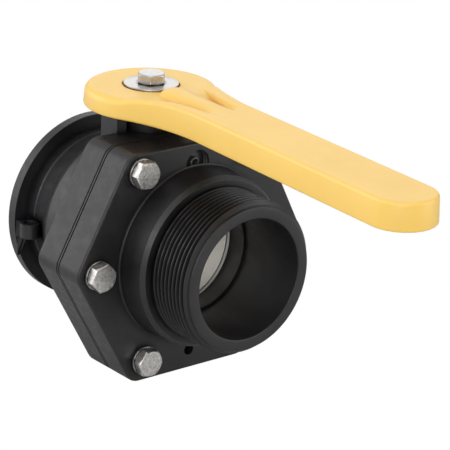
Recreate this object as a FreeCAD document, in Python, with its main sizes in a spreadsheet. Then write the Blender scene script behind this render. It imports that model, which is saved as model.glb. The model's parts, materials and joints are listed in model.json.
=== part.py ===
# Quarter-turn ball valve with a two-piece bolted body.
# One end is a plain round flange, the other a male pipe thread spigot.
# Millimetres. X runs along the flow from the flange's rear face, Z up along the stem.
import FreeCAD
import Part
import Sketcher
import math
import os
import re

# Driving dimensions: alias, value, meaning.
SIZES = [
    # flow line and ball
    ("bore_radius", 23.6, "flow bore at both open ends"),
    ("throat_radius", 22.7, "narrower bore next to the seats"),
    ("inlet_depth", 7.6, "depth of the wide bore behind the flange face"),
    ("outlet_depth", 31.4, "depth of the wide bore behind the spigot's rim"),
    ("stem_x", 39.66, "stem axis, also the ball's centre"),
    ("ball_radius", 31.5, "ball"),
    ("port_radius", 22.4, "port through the ball"),
    ("cavity_radius", 32.1, "chamber round the ball"),
    ("lever_angle", -3.55, "lever's angle from the flow axis when open"),
    # seats and seals
    ("seat_wall", 4.5, "radial wall of a seat ring"),
    ("seat_play", 0.1, "radial play of a seat ring in its pocket"),
    ("seat_near", 17.74, "seat's edge next to the ball, from the ball's centre"),
    ("seat_far", 23.64, "seat's outer face, from the ball's centre"),
    ("seat_gap", 0.3, "gap between ball and seat"),
    ("seat_lip", 1.0, "how far the ball's face cuts a seat's inner edge back"),
    ("oring_wire", 0.93, "section radius of a seat O-ring"),
    ("seal_wire", 1.03, "section radius of the body O-ring"),
    ("seal_ring", 36.1, "ring radius of the body O-ring"),
    ("groove_play", 0.02, "play between an O-ring and its groove"),
    # flange end
    ("flange_radius", 37.93, "flange rim"),
    ("flange_thick", 4.28, "flange thickness"),
    ("hub_radius", 32.1, "step in front of the flange"),
    ("hub_end", 8.5, "front of that step"),
    ("neck_radius", 31.7, "neck behind the bulge"),
    ("neck_end", 14.5, "where the bulge starts"),
    ("bulge_start", 25.5, "where the bulge is full"),
    ("bulge_radius", 37.6, "bulge round the ball chamber"),
    # bolted plates
    ("plate_back", 42.75, "rear face of the rear plate"),
    ("split_x", 55.83, "joint between the two plates"),
    ("plate_front", 69.0, "front face of the front plate"),
    ("side_corner", 54.21, "plate corner on the horizontal centre line"),
    ("low_corner_y", 27.42, "lower plate corner, sideways"),
    ("low_corner_z", 47.94, "lower plate edge below the axis"),
    ("top_corner_y", 31.06, "upper plate corner, sideways"),
    ("top_corner_z", 43.93, "upper plate edge above the axis"),
    ("corner_round", 6.4, "rounding of the plate corners"),
    ("plate_edge", 1.0, "rounding of the plates' outer edges"),
    ("joint_edge", 0.5, "chamfer at the joint"),
    # threaded end
    ("spigot_length", 2.9, "centring ring behind the joint"),
    ("spigot_play", 0.1, "radial play of the centring ring"),
    ("spigot_inside", 29.2, "inside of the centring ring"),
    ("collar_root", 34.37, "collar at the plate"),
    ("collar_tip", 33.8, "collar at its front"),
    ("collar_end", 80.6, "where the collar's chamfer starts"),
    ("collar_face", 82.3, "front of the collar"),
    ("collar_nose", 32.4, "collar's front edge"),
    ("thread_radius", 30.0, "crests of the pipe thread"),
    ("thread_pitch", 2.209, "pitch of the pipe thread"),
    ("thread_roots", 8, "grooves between the thread's crests"),
    ("thread_start", 1.67, "middle of the first groove in front of the collar"),
    ("root_radius", 28.4, "roots of the pipe thread"),
    ("crest_flat", 0.18, "flat on a crest and in a root"),
    ("nose_length", 2.18, "from the last crest to the rim"),
    ("pilot_radius", 28.18, "plain nose in front of the thread"),
    ("pilot_length", 1.08, "plain nose behind the rim"),
    ("rim_x", 103.38, "spigot's rim"),
    ("gauge_radius", 5.4, "gauge port"),
    ("gauge_y", 0.8, "gauge port, sideways"),
    ("gauge_z", 35.4, "gauge port, height"),
    ("gauge_reach", 4.5, "gauge port's cut into the collar"),
    ("gauge_depth", 8.0, "gauge port's depth in the plate"),
    ("pilot_hole", 1.6, "small hole in the gauge port's floor"),
    ("pilot_depth", 2.0, "depth of that hole"),
    ("drain_radius", 2.2, "pocket under the collar"),
    ("drain_z", -40.2, "height of that pocket"),
    ("drain_depth", 4.0, "depth of that pocket"),
    # stem tower, stop post and eyelet
    ("tower_radius", 13.0, "stem tower"),
    ("tower_foot", 20.0, "where the tower starts inside the bulge"),
    ("tower_top", 50.3, "top of the tower"),
    ("post_width", 10.2, "stop post along the flow"),
    ("post_inner", 15.0, "stop post's inner face from the stem axis"),
    ("post_outer", 19.4, "stop post's outer face from the stem axis"),
    ("post_top", 54.4, "top of the stop post"),
    ("eyelet_radius", 4.1, "eyelet boss on the flange"),
    ("eyelet_bite", 0.3, "how far the eyelet runs into the flange"),
    ("eyelet_y", -35.6, "eyelet, sideways"),
    ("eyelet_low", -6.6, "eyelet's underside"),
    ("eyelet_high", 0.2, "eyelet's top"),
    ("eyelet_hole", 2.6, "hole in the eyelet"),
    ("rim_play", 0.2, "eyelet kept clear of the rim's clamp"),
    ("clamp_reach", 12.0, "room for a clamp round the rim"),
    ("web_thick", 2.0, "web under the eyelet"),
    ("web_low", -15.0, "foot of that web"),
    # stem
    ("stem_radius", 8.45, "stem"),
    ("stem_play", 0.05, "running clearance round the stem"),
    ("stem_low", 32.3, "underside of the stem's collar"),
    ("washer_low", 35.0, "underside of the thrust washer"),
    ("washer_thick", 1.0, "thrust washer"),
    ("stem_collar", 10.4, "stem collar and thrust washer"),
    ("collar_play", 0.2, "radial play round the stem's collar"),
    ("tang_thick", 7.0, "drive tang"),
    ("tang_wide", 18.0, "drive tang along the ball's slot"),
    ("tang_low", 27.0, "foot of the tang"),
    ("tang_play", 0.1, "play of the tang in the ball's slot"),
    ("square_wide", 11.0, "drive square"),
    ("square_low", 50.6, "foot of the drive square"),
    ("square_top", 56.4, "top of the drive square"),
    ("square_play", 0.05, "play round the drive square"),
    ("groove_depth", 1.5, "depth of the stem's O-ring grooves"),
    ("groove_wide", 2.2, "width of the stem's O-ring grooves"),
    ("groove_low", 40.1, "middle of the lower groove"),
    ("groove_high", 45.6, "middle of the upper groove"),
    ("stem_wire", 0.73, "section radius of a stem O-ring"),
    # handle
    ("handle_low", 51.5, "underside of the handle"),
    ("head_radius", 25.75, "handle's round head"),
    ("head_top", 59.3, "top of the head"),
    ("lever_half", 12.8, "half the lever's width"),
    ("lever_reach", 150.6, "middle of the lever's round end"),
    ("lever_top", 61.9, "top of the lever"),
    ("flank_radius", 75.0, "hollow flanks between head and lever"),
    ("ridge_start", 12.2, "start of the ridge next to the washer"),
    ("ridge_half", 4.6, "half width of the ridge there"),
    ("ridge_waist", 36.0, "where the ridge starts to widen"),
    ("waist_half", 6.2, "half width of the ridge there"),
    ("ridge_end", 50.0, "where the ridge has become the lever's top"),
    ("top_round", 2.6, "rounding of the handle's upper edges"),
    ("low_round", 0.8, "rounding of the handle's lower edges"),
    ("ramp_round", 1.4, "rounding of the ridge's shoulders"),
    ("turn", 90.0, "handle's travel in degrees"),
    ("slot_play", 1.0, "play of the stop at each end in degrees"),
    ("slot_gap", 0.6, "gap round the stop post in its slot"),
    ("slot_roof", 0.5, "gap above the stop post"),
    # screws
    ("hex_flats", 10.0, "hexagon across flats"),
    ("head_high", 4.0, "height of a bolt head"),
    ("screw_radius", 3.0, "bolt shank"),
    ("screw_length", 30.0, "body bolt under its head"),
    ("short_length", 16.0, "handle bolt under its head"),
    ("hole_play", 0.3, "play round a bolt shank"),
    ("thread_play", 0.02, "play in a mating thread"),
    ("flat_radius", 5.6, "body washer"),
    ("flat_thick", 1.2, "body washer's thickness"),
    ("nut_thick", 5.0, "body nut"),
    ("nut_sunk", 4.6, "depth of the nut's pocket"),
    ("nut_play", 0.1, "play across flats in the nut's pocket"),
    ("big_washer", 10.8, "handle washer"),
    ("big_thick", 1.6, "handle washer's thickness"),
    ("dish_low", 58.4, "seat of the handle washer"),
    ("dish_play", 0.4, "play round the handle washer"),
    ("screw_spare", 1.0, "free thread below the handle bolt"),
    # bolt places, measured in from the plates' corners
    ("side_margin", 9.41, "side bolts from the side corners"),
    ("low_margin_y", 5.49, "lower bolts from the lower corners, sideways"),
    ("low_margin_z", 8.66, "lower bolts from the lower edge"),
    ("top_margin_y", 5.18, "upper bolts from the upper corners, sideways"),
    ("top_margin_z", 7.38, "upper bolts from the upper edge"),
    ("overcut", 1.0, "how far a cut or a joined pad reaches past its neighbour"),
]

# Bolt places as seen from the thread: sideways and height, then the hexagon's clocking in degrees.
BOLTS = [
    ("side_margin - side_corner", "0", 13.0),
    ("low_margin_y - low_corner_y", "low_margin_z - low_corner_z", 52.0),
    ("low_corner_y - low_margin_y", "low_margin_z - low_corner_z", 41.0),
    ("side_corner - side_margin", "0", 15.0),
    ("top_corner_y - top_margin_y", "top_corner_z - top_margin_z", 52.0),
    ("top_margin_y - top_corner_y", "top_corner_z - top_margin_z", 58.0),
]

FULL_TURN = 360.0
HEX_SIDES = 6
NEAR = 0.001

# Places shared by the seats, their pockets and their O-rings.
SEAT_MIDDLE = "throat_radius + seat_wall / 2"
POCKET_WALL = "throat_radius + seat_wall + seat_play"
WIRE_ROOM = "(oring_wire + groove_play)"
SEAL_ROOM = "(seal_wire + groove_play)"
STEM_RING = "stem_radius - groove_depth + stem_wire + groove_play"

doc = FreeCAD.newDocument("ball_valve")
sheet = doc.addObject("Spreadsheet::Sheet", "sizes")
for row, (alias, value, meaning) in enumerate(SIZES, start=1):
    sheet.set("A%d" % row, alias)
    sheet.set("B%d" % row, str(value))
    sheet.set("C%d" % row, meaning)
    sheet.setAlias("B%d" % row, alias)
doc.recompute()
NAMES = {alias for alias, value, meaning in SIZES}
made = []


def bound(text):
    """Expression text with each alias pointing at the sheet."""
    return re.sub(r"[a-z_]+", lambda m: "sizes." + m.group() if m.group() in NAMES else m.group(), text)


def drive(thing, prop, text):
    thing.setExpression(prop, bound(text))


def keep(thing, label):
    """Name a finished sub-part and remember it for the export."""
    thing.Label = label
    made.append(thing)
    return thing


def new_body(label):
    return keep(doc.addObject("PartDesign::Body", label + "_body"), label)


def about(x, y, z, degrees):
    """Placement at the origin, turned about one direction."""
    return FreeCAD.Placement(FreeCAD.Vector(0, 0, 0), FreeCAD.Rotation(FreeCAD.Vector(x, y, z), degrees))


def turned(body):
    """Put a piece on the stem axis, turned with the lever."""
    body.Placement = about(0, 0, 1, 1)
    drive(body, "Placement.Base.x", "stem_x")
    drive(body, "Placement.Rotation.Angle", "lever_angle")


def sketch_on(body, plane, name, offset="0"):
    """Empty sketch on one of the body's own origin planes, shifted along the plane's normal."""
    sketch = body.newObject("Sketcher::SketchObject", name)
    support = [item for item in body.Origin.OriginFeatures if item.Role == plane][0]
    sketch.AttachmentSupport = [(support, "")]
    sketch.MapMode = "FlatFace"
    if offset != "0":
        drive(sketch, "AttachmentOffset.Base.z", offset)
    return sketch


def pin_down(sketch, kind, shape, point, name, text, start):
    if kind == "Radius":
        index = sketch.addConstraint(Sketcher.Constraint(kind, shape, start))
    else:
        index = sketch.addConstraint(Sketcher.Constraint(kind, -1, 1, shape, point, start))
    sketch.renameConstraint(index, name)
    drive(sketch, "Constraints." + name, text)


def polygon(sketch, corners):
    """Closed outline whose every corner is bound to the sheet."""
    count = len(corners)
    first = sketch.GeometryCount
    spots = [FreeCAD.Vector(k + 1, (k + 1) ** 2, 0) for k in range(count)]
    for k in range(count):
        sketch.addGeometry(Part.LineSegment(spots[k], spots[(k + 1) % count]), False)
    for k in range(count):
        sketch.addConstraint(Sketcher.Constraint("Coincident", first + k, 2, first + (k + 1) % count, 1))
    for k, (across, up) in enumerate(corners):
        pin_down(sketch, "DistanceX", first + k, 1, "across%d" % (first + k), across, spots[k].x)
        pin_down(sketch, "DistanceY", first + k, 1, "up%d" % (first + k), up, spots[k].y)


def circle(sketch, across, up, radius):
    index = sketch.addGeometry(Part.Circle(FreeCAD.Vector(1, 1, 0), FreeCAD.Vector(0, 0, 1), 1), False)
    pin_down(sketch, "DistanceX", index, 3, "across%d" % index, across, 1)
    pin_down(sketch, "DistanceY", index, 3, "up%d" % index, up, 1)
    pin_down(sketch, "Radius", index, 0, "radius%d" % index, radius, 1)


def hexagon(sketch, flats, across="0", up="0", clocking=0.0):
    """Regular hexagon given across its flats."""
    corners = []
    for k in range(HEX_SIDES):
        angle = clocking + k * FULL_TURN / HEX_SIDES
        reach = "(%s) / 2 / cos(30)" % flats
        corners.append((
            "%s + %s * cos(%s)" % (across, reach, angle),
            "%s + %s * sin(%s)" % (up, reach, angle),
        ))
    polygon(sketch, corners)


def feature(body, kind, sketch, name, length=None, backwards=False):
    """Pad or pocket of a sketch; without a length it goes right through."""
    item = body.newObject("PartDesign::" + kind, name)
    item.Profile = sketch
    item.Reversed = backwards
    if length is None:
        item.Type = 1
    else:
        drive(item, "Length", length)
    sketch.Visibility = False
    return item


def spun(body, kind, sketch, axis, name, angle=None, backwards=False):
    """Revolution or groove of a sketch about one of its axes."""
    item = body.newObject("PartDesign::" + kind, name)
    item.Profile = sketch
    item.ReferenceAxis = (sketch, [axis])
    item.Angle = FULL_TURN
    item.Reversed = backwards
    if angle:
        drive(item, "Angle", angle)
    sketch.Visibility = False
    return item


def dress(body, kind, base, wanted, size, name):
    """Fillet or chamfer on the edges that a test picks."""
    doc.recompute()
    names = ["Edge%d" % (k + 1) for k, edge in enumerate(base.Shape.Edges) if wanted(edge)]
    item = body.newObject("PartDesign::" + kind, name)
    item.Base = (base, names)
    drive(item, "Radius" if kind == "Fillet" else "Size", size)
    base.Visibility = False
    return item


def size(alias):
    return float(sheet.get(alias))


def along_x(edge):
    """True for a straight edge parallel to the flow at a plate corner."""
    ends = [v.Point for v in edge.Vertexes]
    if len(ends) != 2:
        return False
    run = ends[1] - ends[0]
    far = (ends[0].y ** 2 + ends[0].z ** 2) ** 0.5
    return abs(run.x) > NEAR and abs(run.y) + abs(run.z) < NEAR and far > size("top_corner_z")


def on_outline(edge, x):
    """True for an edge of the plates' outline in the plane at x."""
    box = edge.BoundBox
    middle = edge.valueAt((edge.FirstParameter + edge.LastParameter) / 2)
    far = (middle.y ** 2 + middle.z ** 2) ** 0.5
    return box.XLength < NEAR and abs(box.XMin - x) < NEAR and far > size("top_corner_z") - size("plate_edge")


def plate(body, low, high):
    """Six-sided plate, its corners rounded, from one plane to another."""
    sketch = sketch_on(body, "YZ_Plane", "plate_outline", low)
    polygon(sketch, [
        ("-side_corner", "0"),
        ("-low_corner_y", "-low_corner_z"),
        ("low_corner_y", "-low_corner_z"),
        ("side_corner", "0"),
        ("top_corner_y", "top_corner_z"),
        ("-top_corner_y", "top_corner_z"),
    ])
    pad = feature(body, "Pad", sketch, "plate_pad", "%s - %s" % (high, low))
    return dress(body, "Fillet", pad, along_x, "corner_round", "plate_corners")


def bolt_holes(body, start):
    """The six through holes of the bolted joint."""
    sketch = sketch_on(body, "YZ_Plane", "bolt_hole_places", start)
    for across, up, clocking in BOLTS:
        circle(sketch, across, up, "screw_radius + hole_play")
    return feature(body, "Pocket", sketch, "bolt_holes")


def flange_body():
    body = new_body("flange_body")
    outline = sketch_on(body, "XZ_Plane", "body_outline")
    polygon(outline, [
        ("0", "0"),
        ("0", "flange_radius"),
        ("flange_thick", "flange_radius"),
        ("flange_thick", "hub_radius"),
        ("hub_end", "hub_radius"),
        ("hub_end + hub_radius - neck_radius", "neck_radius"),
        ("neck_end", "neck_radius"),
        ("bulge_start", "bulge_radius"),
        ("split_x", "bulge_radius"),
        ("split_x", "0"),
    ])
    spun(body, "Revolution", outline, "H_Axis", "body_solid")
    plate(body, "plate_back", "split_x")
    rounded = dress(
        body, "Fillet", body.Tip, lambda e: on_outline(e, size("plate_back")),
        "plate_edge", "back_edge")
    dress(
        body, "Chamfer", rounded, lambda e: on_outline(e, size("split_x")),
        "joint_edge", "joint_edge_rear")

    tower = sketch_on(body, "XY_Plane", "tower_circle", "tower_foot")
    circle(tower, "stem_x", "0", "tower_radius")
    feature(body, "Pad", tower, "tower", "tower_top - tower_foot")

    post = sketch_on(body, "XY_Plane", "post_outline", "tower_foot")
    polygon(post, [
        ("stem_x - post_width / 2", "-post_outer"),
        ("stem_x + post_width / 2", "-post_outer"),
        ("stem_x + post_width / 2", "-post_inner"),
        ("stem_x - post_width / 2", "-post_inner"),
    ])
    feature(body, "Pad", post, "stop_post", "post_top - tower_foot")

    eyelet_x = "flange_thick + eyelet_radius - eyelet_bite"
    boss = sketch_on(body, "XY_Plane", "eyelet_circle", "eyelet_low")
    circle(boss, eyelet_x, "eyelet_y", "eyelet_radius")
    feature(body, "Pad", boss, "eyelet", "eyelet_high - eyelet_low")
    web = sketch_on(body, "XZ_Plane", "web_outline", "-eyelet_y - web_thick / 2")
    polygon(web, [
        ("flange_thick - eyelet_bite", "web_low"),
        (eyelet_x + " + eyelet_radius / 2", "eyelet_low + eyelet_bite"),
        ("flange_thick - eyelet_bite", "eyelet_low + eyelet_bite"),
    ])
    feature(body, "Pad", web, "eyelet_web", "web_thick")
    clear = sketch_on(body, "XZ_Plane", "rim_clear_outline")
    polygon(clear, [
        ("-overcut", "flange_radius"),
        ("flange_thick + rim_play", "flange_radius"),
        ("flange_thick + rim_play", "flange_radius + clamp_reach"),
        ("-overcut", "flange_radius + clamp_reach"),
    ])
    spun(body, "Groove", clear, "H_Axis", "rim_clear")
    eye = sketch_on(body, "XY_Plane", "eyelet_hole_circle", "eyelet_high")
    circle(eye, eyelet_x, "eyelet_y", "eyelet_hole")
    feature(body, "Pocket", eye, "eyelet_bore", "eyelet_high - web_low")

    rear_pocket = "stem_x - seat_far"
    rear_groove = rear_pocket + " - 2 * " + WIRE_ROOM
    cavity = sketch_on(body, "XZ_Plane", "cavity_outline")
    polygon(cavity, [
        ("-overcut", "0"),
        ("-overcut", "bore_radius"),
        ("inlet_depth", "bore_radius"),
        ("inlet_depth", "throat_radius"),
        (rear_pocket, "throat_radius"),
        (rear_pocket, SEAT_MIDDLE + " - " + WIRE_ROOM),
        (rear_groove, SEAT_MIDDLE + " - " + WIRE_ROOM),
        (rear_groove, SEAT_MIDDLE + " + " + WIRE_ROOM),
        (rear_pocket, SEAT_MIDDLE + " + " + WIRE_ROOM),
        (rear_pocket, POCKET_WALL),
        ("stem_x - seat_near + seat_play", POCKET_WALL),
        ("stem_x - seat_near + seat_play", "cavity_radius"),
        ("split_x + overcut", "cavity_radius"),
        ("split_x + overcut", "0"),
    ])
    spun(body, "Groove", cavity, "H_Axis", "cavity")

    stem_bore = sketch_on(body, "XY_Plane", "stem_bore_circle", "tower_top")
    circle(stem_bore, "stem_x", "0", "stem_radius + stem_play")
    feature(body, "Pocket", stem_bore, "stem_bore", "tower_top - tower_foot")
    counterbore = sketch_on(body, "XY_Plane", "stem_collar_circle", "washer_low + washer_thick")
    circle(counterbore, "stem_x", "0", "stem_collar + collar_play")
    feature(body, "Pocket", counterbore, "stem_counterbore", "washer_low + washer_thick - tower_foot")

    bolt_holes(body, "split_x")
    for number, (across, up, clocking) in enumerate(BOLTS, start=1):
        sunk = sketch_on(body, "YZ_Plane", "nut_pocket_outline_%d" % number, "plate_back + nut_sunk")
        hexagon(sunk, "hex_flats + nut_play", across, up)
        feature(body, "Pocket", sunk, "nut_pocket_%d" % number, "nut_sunk + overcut")
    return body


def threaded_end():
    body = new_body("threaded_end")
    outline = sketch_on(body, "XZ_Plane", "end_outline")
    polygon(outline, [
        ("split_x - spigot_length", "0"),
        ("split_x - spigot_length", "cavity_radius - spigot_play"),
        ("split_x", "cavity_radius - spigot_play"),
        ("split_x", "collar_root"),
        ("plate_front", "collar_root"),
        ("collar_end", "collar_tip"),
        ("collar_face", "collar_nose"),
        ("collar_face", "thread_radius"),
        ("rim_x - nose_length", "thread_radius"),
        ("rim_x - pilot_length", "pilot_radius"),
        ("rim_x", "pilot_radius"),
        ("rim_x", "0"),
    ])
    spun(body, "Revolution", outline, "H_Axis", "end_solid")
    plate(body, "split_x", "plate_front")
    rounded = dress(
        body, "Fillet", body.Tip, lambda e: on_outline(e, size("plate_front")),
        "plate_edge", "front_edge")
    dress(
        body, "Chamfer", rounded, lambda e: on_outline(e, size("split_x")),
        "joint_edge", "joint_edge_front")

    root = sketch_on(body, "XZ_Plane", "thread_root_outline")
    middle = "collar_face + thread_start"
    mouth = "(thread_pitch - crest_flat) / 2"
    polygon(root, [
        (middle + " - " + mouth, "thread_radius + overcut"),
        (middle + " - " + mouth, "thread_radius"),
        (middle + " - crest_flat / 2", "root_radius"),
        (middle + " + crest_flat / 2", "root_radius"),
        (middle + " + " + mouth, "thread_radius"),
        (middle + " + " + mouth, "thread_radius + overcut"),
    ])
    first = spun(body, "Groove", root, "H_Axis", "first_root")
    roots = body.newObject("PartDesign::LinearPattern", "thread_roots")
    roots.Originals = [first]
    roots.Direction = (root, ["H_Axis"])
    drive(roots, "Length", "(thread_roots - 1) * thread_pitch")
    drive(roots, "Occurrences", "thread_roots")
    body.Tip = roots

    front_pocket = "stem_x + seat_far"
    front_groove = front_pocket + " + 2 * " + WIRE_ROOM
    inside = sketch_on(body, "XZ_Plane", "inside_outline")
    polygon(inside, [
        ("split_x - spigot_length - overcut", "0"),
        ("split_x - spigot_length - overcut", "spigot_inside"),
        ("stem_x + seat_near - seat_play", "spigot_inside"),
        ("stem_x + seat_near - seat_play", POCKET_WALL),
        (front_pocket, POCKET_WALL),
        (front_pocket, SEAT_MIDDLE + " + " + WIRE_ROOM),
        (front_groove, SEAT_MIDDLE + " + " + WIRE_ROOM),
        (front_groove, SEAT_MIDDLE + " - " + WIRE_ROOM),
        (front_pocket, SEAT_MIDDLE + " - " + WIRE_ROOM),
        (front_pocket, "throat_radius"),
        ("rim_x - outlet_depth", "throat_radius"),
        ("rim_x - outlet_depth", "bore_radius"),
        ("rim_x + overcut", "bore_radius"),
        ("rim_x + overcut", "0"),
    ])
    spun(body, "Groove", inside, "H_Axis", "through_bore")

    seal = sketch_on(body, "XZ_Plane", "seal_groove_outline")
    polygon(seal, [
        ("split_x - overcut", "seal_ring - " + SEAL_ROOM),
        ("split_x - overcut", "seal_ring + " + SEAL_ROOM),
        ("split_x + 2 * " + SEAL_ROOM, "seal_ring + " + SEAL_ROOM),
        ("split_x + 2 * " + SEAL_ROOM, "seal_ring - " + SEAL_ROOM),
    ])
    spun(body, "Groove", seal, "H_Axis", "seal_groove")

    bolt_holes(body, "plate_front")
    gauge = sketch_on(body, "YZ_Plane", "gauge_port_circle", "plate_front + gauge_reach")
    circle(gauge, "gauge_y", "gauge_z", "gauge_radius")
    feature(body, "Pocket", gauge, "gauge_port", "gauge_reach + gauge_depth")
    floor = sketch_on(body, "YZ_Plane", "pilot_hole_circle", "plate_front - gauge_depth")
    circle(floor, "gauge_y", "gauge_z", "pilot_hole")
    feature(body, "Pocket", floor, "pilot_bore", "pilot_depth")
    drain = sketch_on(body, "YZ_Plane", "drain_circle", "plate_front")
    circle(drain, "0", "drain_z", "drain_radius")
    feature(body, "Pocket", drain, "drain_pocket", "drain_depth")
    return body


def ball():
    body = new_body("ball")
    sphere = body.newObject("PartDesign::AdditiveSphere", "sphere")
    drive(sphere, "Radius", "ball_radius")
    port = sketch_on(body, "YZ_Plane", "port_circle", "ball_radius + overcut")
    circle(port, "0", "0", "port_radius")
    feature(body, "Pocket", port, "port")
    slot = sketch_on(body, "XZ_Plane", "slot_outline", "ball_radius + overcut")
    polygon(slot, [
        ("-tang_thick / 2 - tang_play", "tang_low - tang_play"),
        ("tang_thick / 2 + tang_play", "tang_low - tang_play"),
        ("tang_thick / 2 + tang_play", "ball_radius + overcut"),
        ("-tang_thick / 2 - tang_play", "ball_radius + overcut"),
    ])
    feature(body, "Pocket", slot, "drive_slot")
    turned(body)
    return body


def stem():
    body = new_body("stem")
    outline = sketch_on(body, "XZ_Plane", "stem_outline")
    root = "stem_radius - groove_depth"
    low = ("groove_low - groove_wide / 2", "groove_low + groove_wide / 2")
    high = ("groove_high - groove_wide / 2", "groove_high + groove_wide / 2")
    polygon(outline, [
        ("0", "stem_low"),
        ("stem_collar", "stem_low"),
        ("stem_collar", "washer_low"),
        ("stem_radius", "washer_low"),
        ("stem_radius", low[0]),
        (root, low[0]),
        (root, low[1]),
        ("stem_radius", low[1]),
        ("stem_radius", high[0]),
        (root, high[0]),
        (root, high[1]),
        ("stem_radius", high[1]),
        ("stem_radius", "square_low"),
        ("0", "square_low"),
    ])
    spun(body, "Revolution", outline, "V_Axis", "shaft")
    tang = sketch_on(body, "XY_Plane", "tang_outline", "tang_low")
    polygon(tang, [
        ("-tang_thick / 2", "-tang_wide / 2"),
        ("tang_thick / 2", "-tang_wide / 2"),
        ("tang_thick / 2", "tang_wide / 2"),
        ("-tang_thick / 2", "tang_wide / 2"),
    ])
    feature(body, "Pad", tang, "tang", "stem_low - tang_low + overcut")
    square = sketch_on(body, "XY_Plane", "square_outline", "square_low - overcut")
    polygon(square, [
        ("-square_wide / 2", "-square_wide / 2"),
        ("square_wide / 2", "-square_wide / 2"),
        ("square_wide / 2", "square_wide / 2"),
        ("-square_wide / 2", "square_wide / 2"),
    ])
    feature(body, "Pad", square, "drive_square", "square_top - square_low + overcut")
    tapped = sketch_on(body, "XY_Plane", "tapped_circle", "square_top")
    circle(tapped, "0", "0", "screw_radius + thread_play")
    depth = "square_top - (dish_low + big_thick - short_length) + screw_spare"
    feature(body, "Pocket", tapped, "tapped_hole", depth)
    turned(body)
    return body


def thrust_washer():
    body = new_body("stem_thrust_washer")
    ring = sketch_on(body, "XY_Plane", "washer_circles", "washer_low")
    circle(ring, "stem_x", "0", "stem_collar")
    circle(ring, "stem_x", "0", "stem_radius + hole_play")
    feature(body, "Pad", ring, "washer", "washer_thick")
    return body


def torus(label, ring, wire, place, flat):
    """O-ring about the stem axis when flat, otherwise about the flow axis."""
    item = keep(doc.addObject("Part::Torus", label + "_torus"), label)
    drive(item, "Radius1", ring)
    drive(item, "Radius2", wire)
    if flat:
        drive(item, "Placement.Base.x", "stem_x")
        drive(item, "Placement.Base.z", place)
    else:
        item.Placement = about(0, 1, 0, 90)
        drive(item, "Placement.Base.x", place)
    return item


def seat_ring(label, side):
    """Seat ring whose inner face follows the ball; side is + at the thread and - at the flange."""
    body = new_body(label)
    outline = sketch_on(body, "XZ_Plane", "seat_outline")
    near = "stem_x %s (seat_near + seat_lip)" % side
    far = "stem_x %s seat_far" % side
    polygon(outline, [
        (near, "throat_radius"),
        (near, "throat_radius + seat_wall"),
        (far, "throat_radius + seat_wall"),
        (far, "throat_radius"),
    ])
    spun(body, "Revolution", outline, "H_Axis", "seat_blank")
    sphere = body.newObject("PartDesign::SubtractiveSphere", "ball_face")
    drive(sphere, "Radius", "ball_radius + seat_gap")
    drive(sphere, "AttachmentOffset.Base.x", "stem_x")
    sphere.AttachmentSupport = [([f for f in body.Origin.OriginFeatures if f.Role == "XY_Plane"][0], "")]
    sphere.MapMode = "FlatFace"
    return body


def lever_outline(sketch):
    """Round head, hollow flanks and a straight lever with a round end, all joined tangentially."""
    head, tip, flank = size("head_radius"), size("lever_half"), size("flank_radius")
    reach, rise = size("lever_reach"), tip + flank
    run = math.sqrt((head + flank) ** 2 - rise ** 2)
    meet, quarter = math.atan2(rise, run), math.pi / 2

    def arc(x, y, radius, start, end):
        whole = Part.Circle(FreeCAD.Vector(x, y, 0), FreeCAD.Vector(0, 0, 1), radius)
        return sketch.addGeometry(Part.ArcOfCircle(whole, start, end), False)

    def line(x0, x1, y):
        return sketch.addGeometry(Part.LineSegment(FreeCAD.Vector(x0, y, 0), FreeCAD.Vector(x1, y, 0)), False)

    back = arc(0, 0, head, meet, 2 * math.pi - meet)
    low_flank = arc(run, -rise, flank, quarter, math.pi - meet)
    low_side = line(run, reach, -tip)
    end = arc(reach, 0, tip, -quarter, quarter)
    high_side = line(reach, run, tip)
    high_flank = arc(run, rise, flank, math.pi + meet, 3 * quarter)
    for first, first_end, second, second_end in [
            (back, 2, low_flank, 2), (low_flank, 1, low_side, 1), (low_side, 2, end, 1),
            (end, 2, high_side, 1), (high_side, 2, high_flank, 2), (high_flank, 1, back, 1)]:
        sketch.addConstraint(Sketcher.Constraint("Tangent", first, first_end, second, second_end))
    sketch.addConstraint(Sketcher.Constraint("Coincident", back, 3, -1, 1))
    sketch.addConstraint(Sketcher.Constraint("PointOnObject", end, 3, -1))
    sketch.addConstraint(Sketcher.Constraint("Horizontal", low_side))
    sketch.addConstraint(Sketcher.Constraint("Horizontal", high_side))
    pin_down(sketch, "DistanceX", end, 3, "reach", "lever_reach", reach)
    pin_down(sketch, "Radius", back, 0, "head", "head_radius", head)
    pin_down(sketch, "Radius", end, 0, "tip", "lever_half", tip)
    pin_down(sketch, "Radius", low_flank, 0, "flank_low", "flank_radius", flank)
    pin_down(sketch, "Radius", high_flank, 0, "flank_high", "flank_radius", flank)


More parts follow.
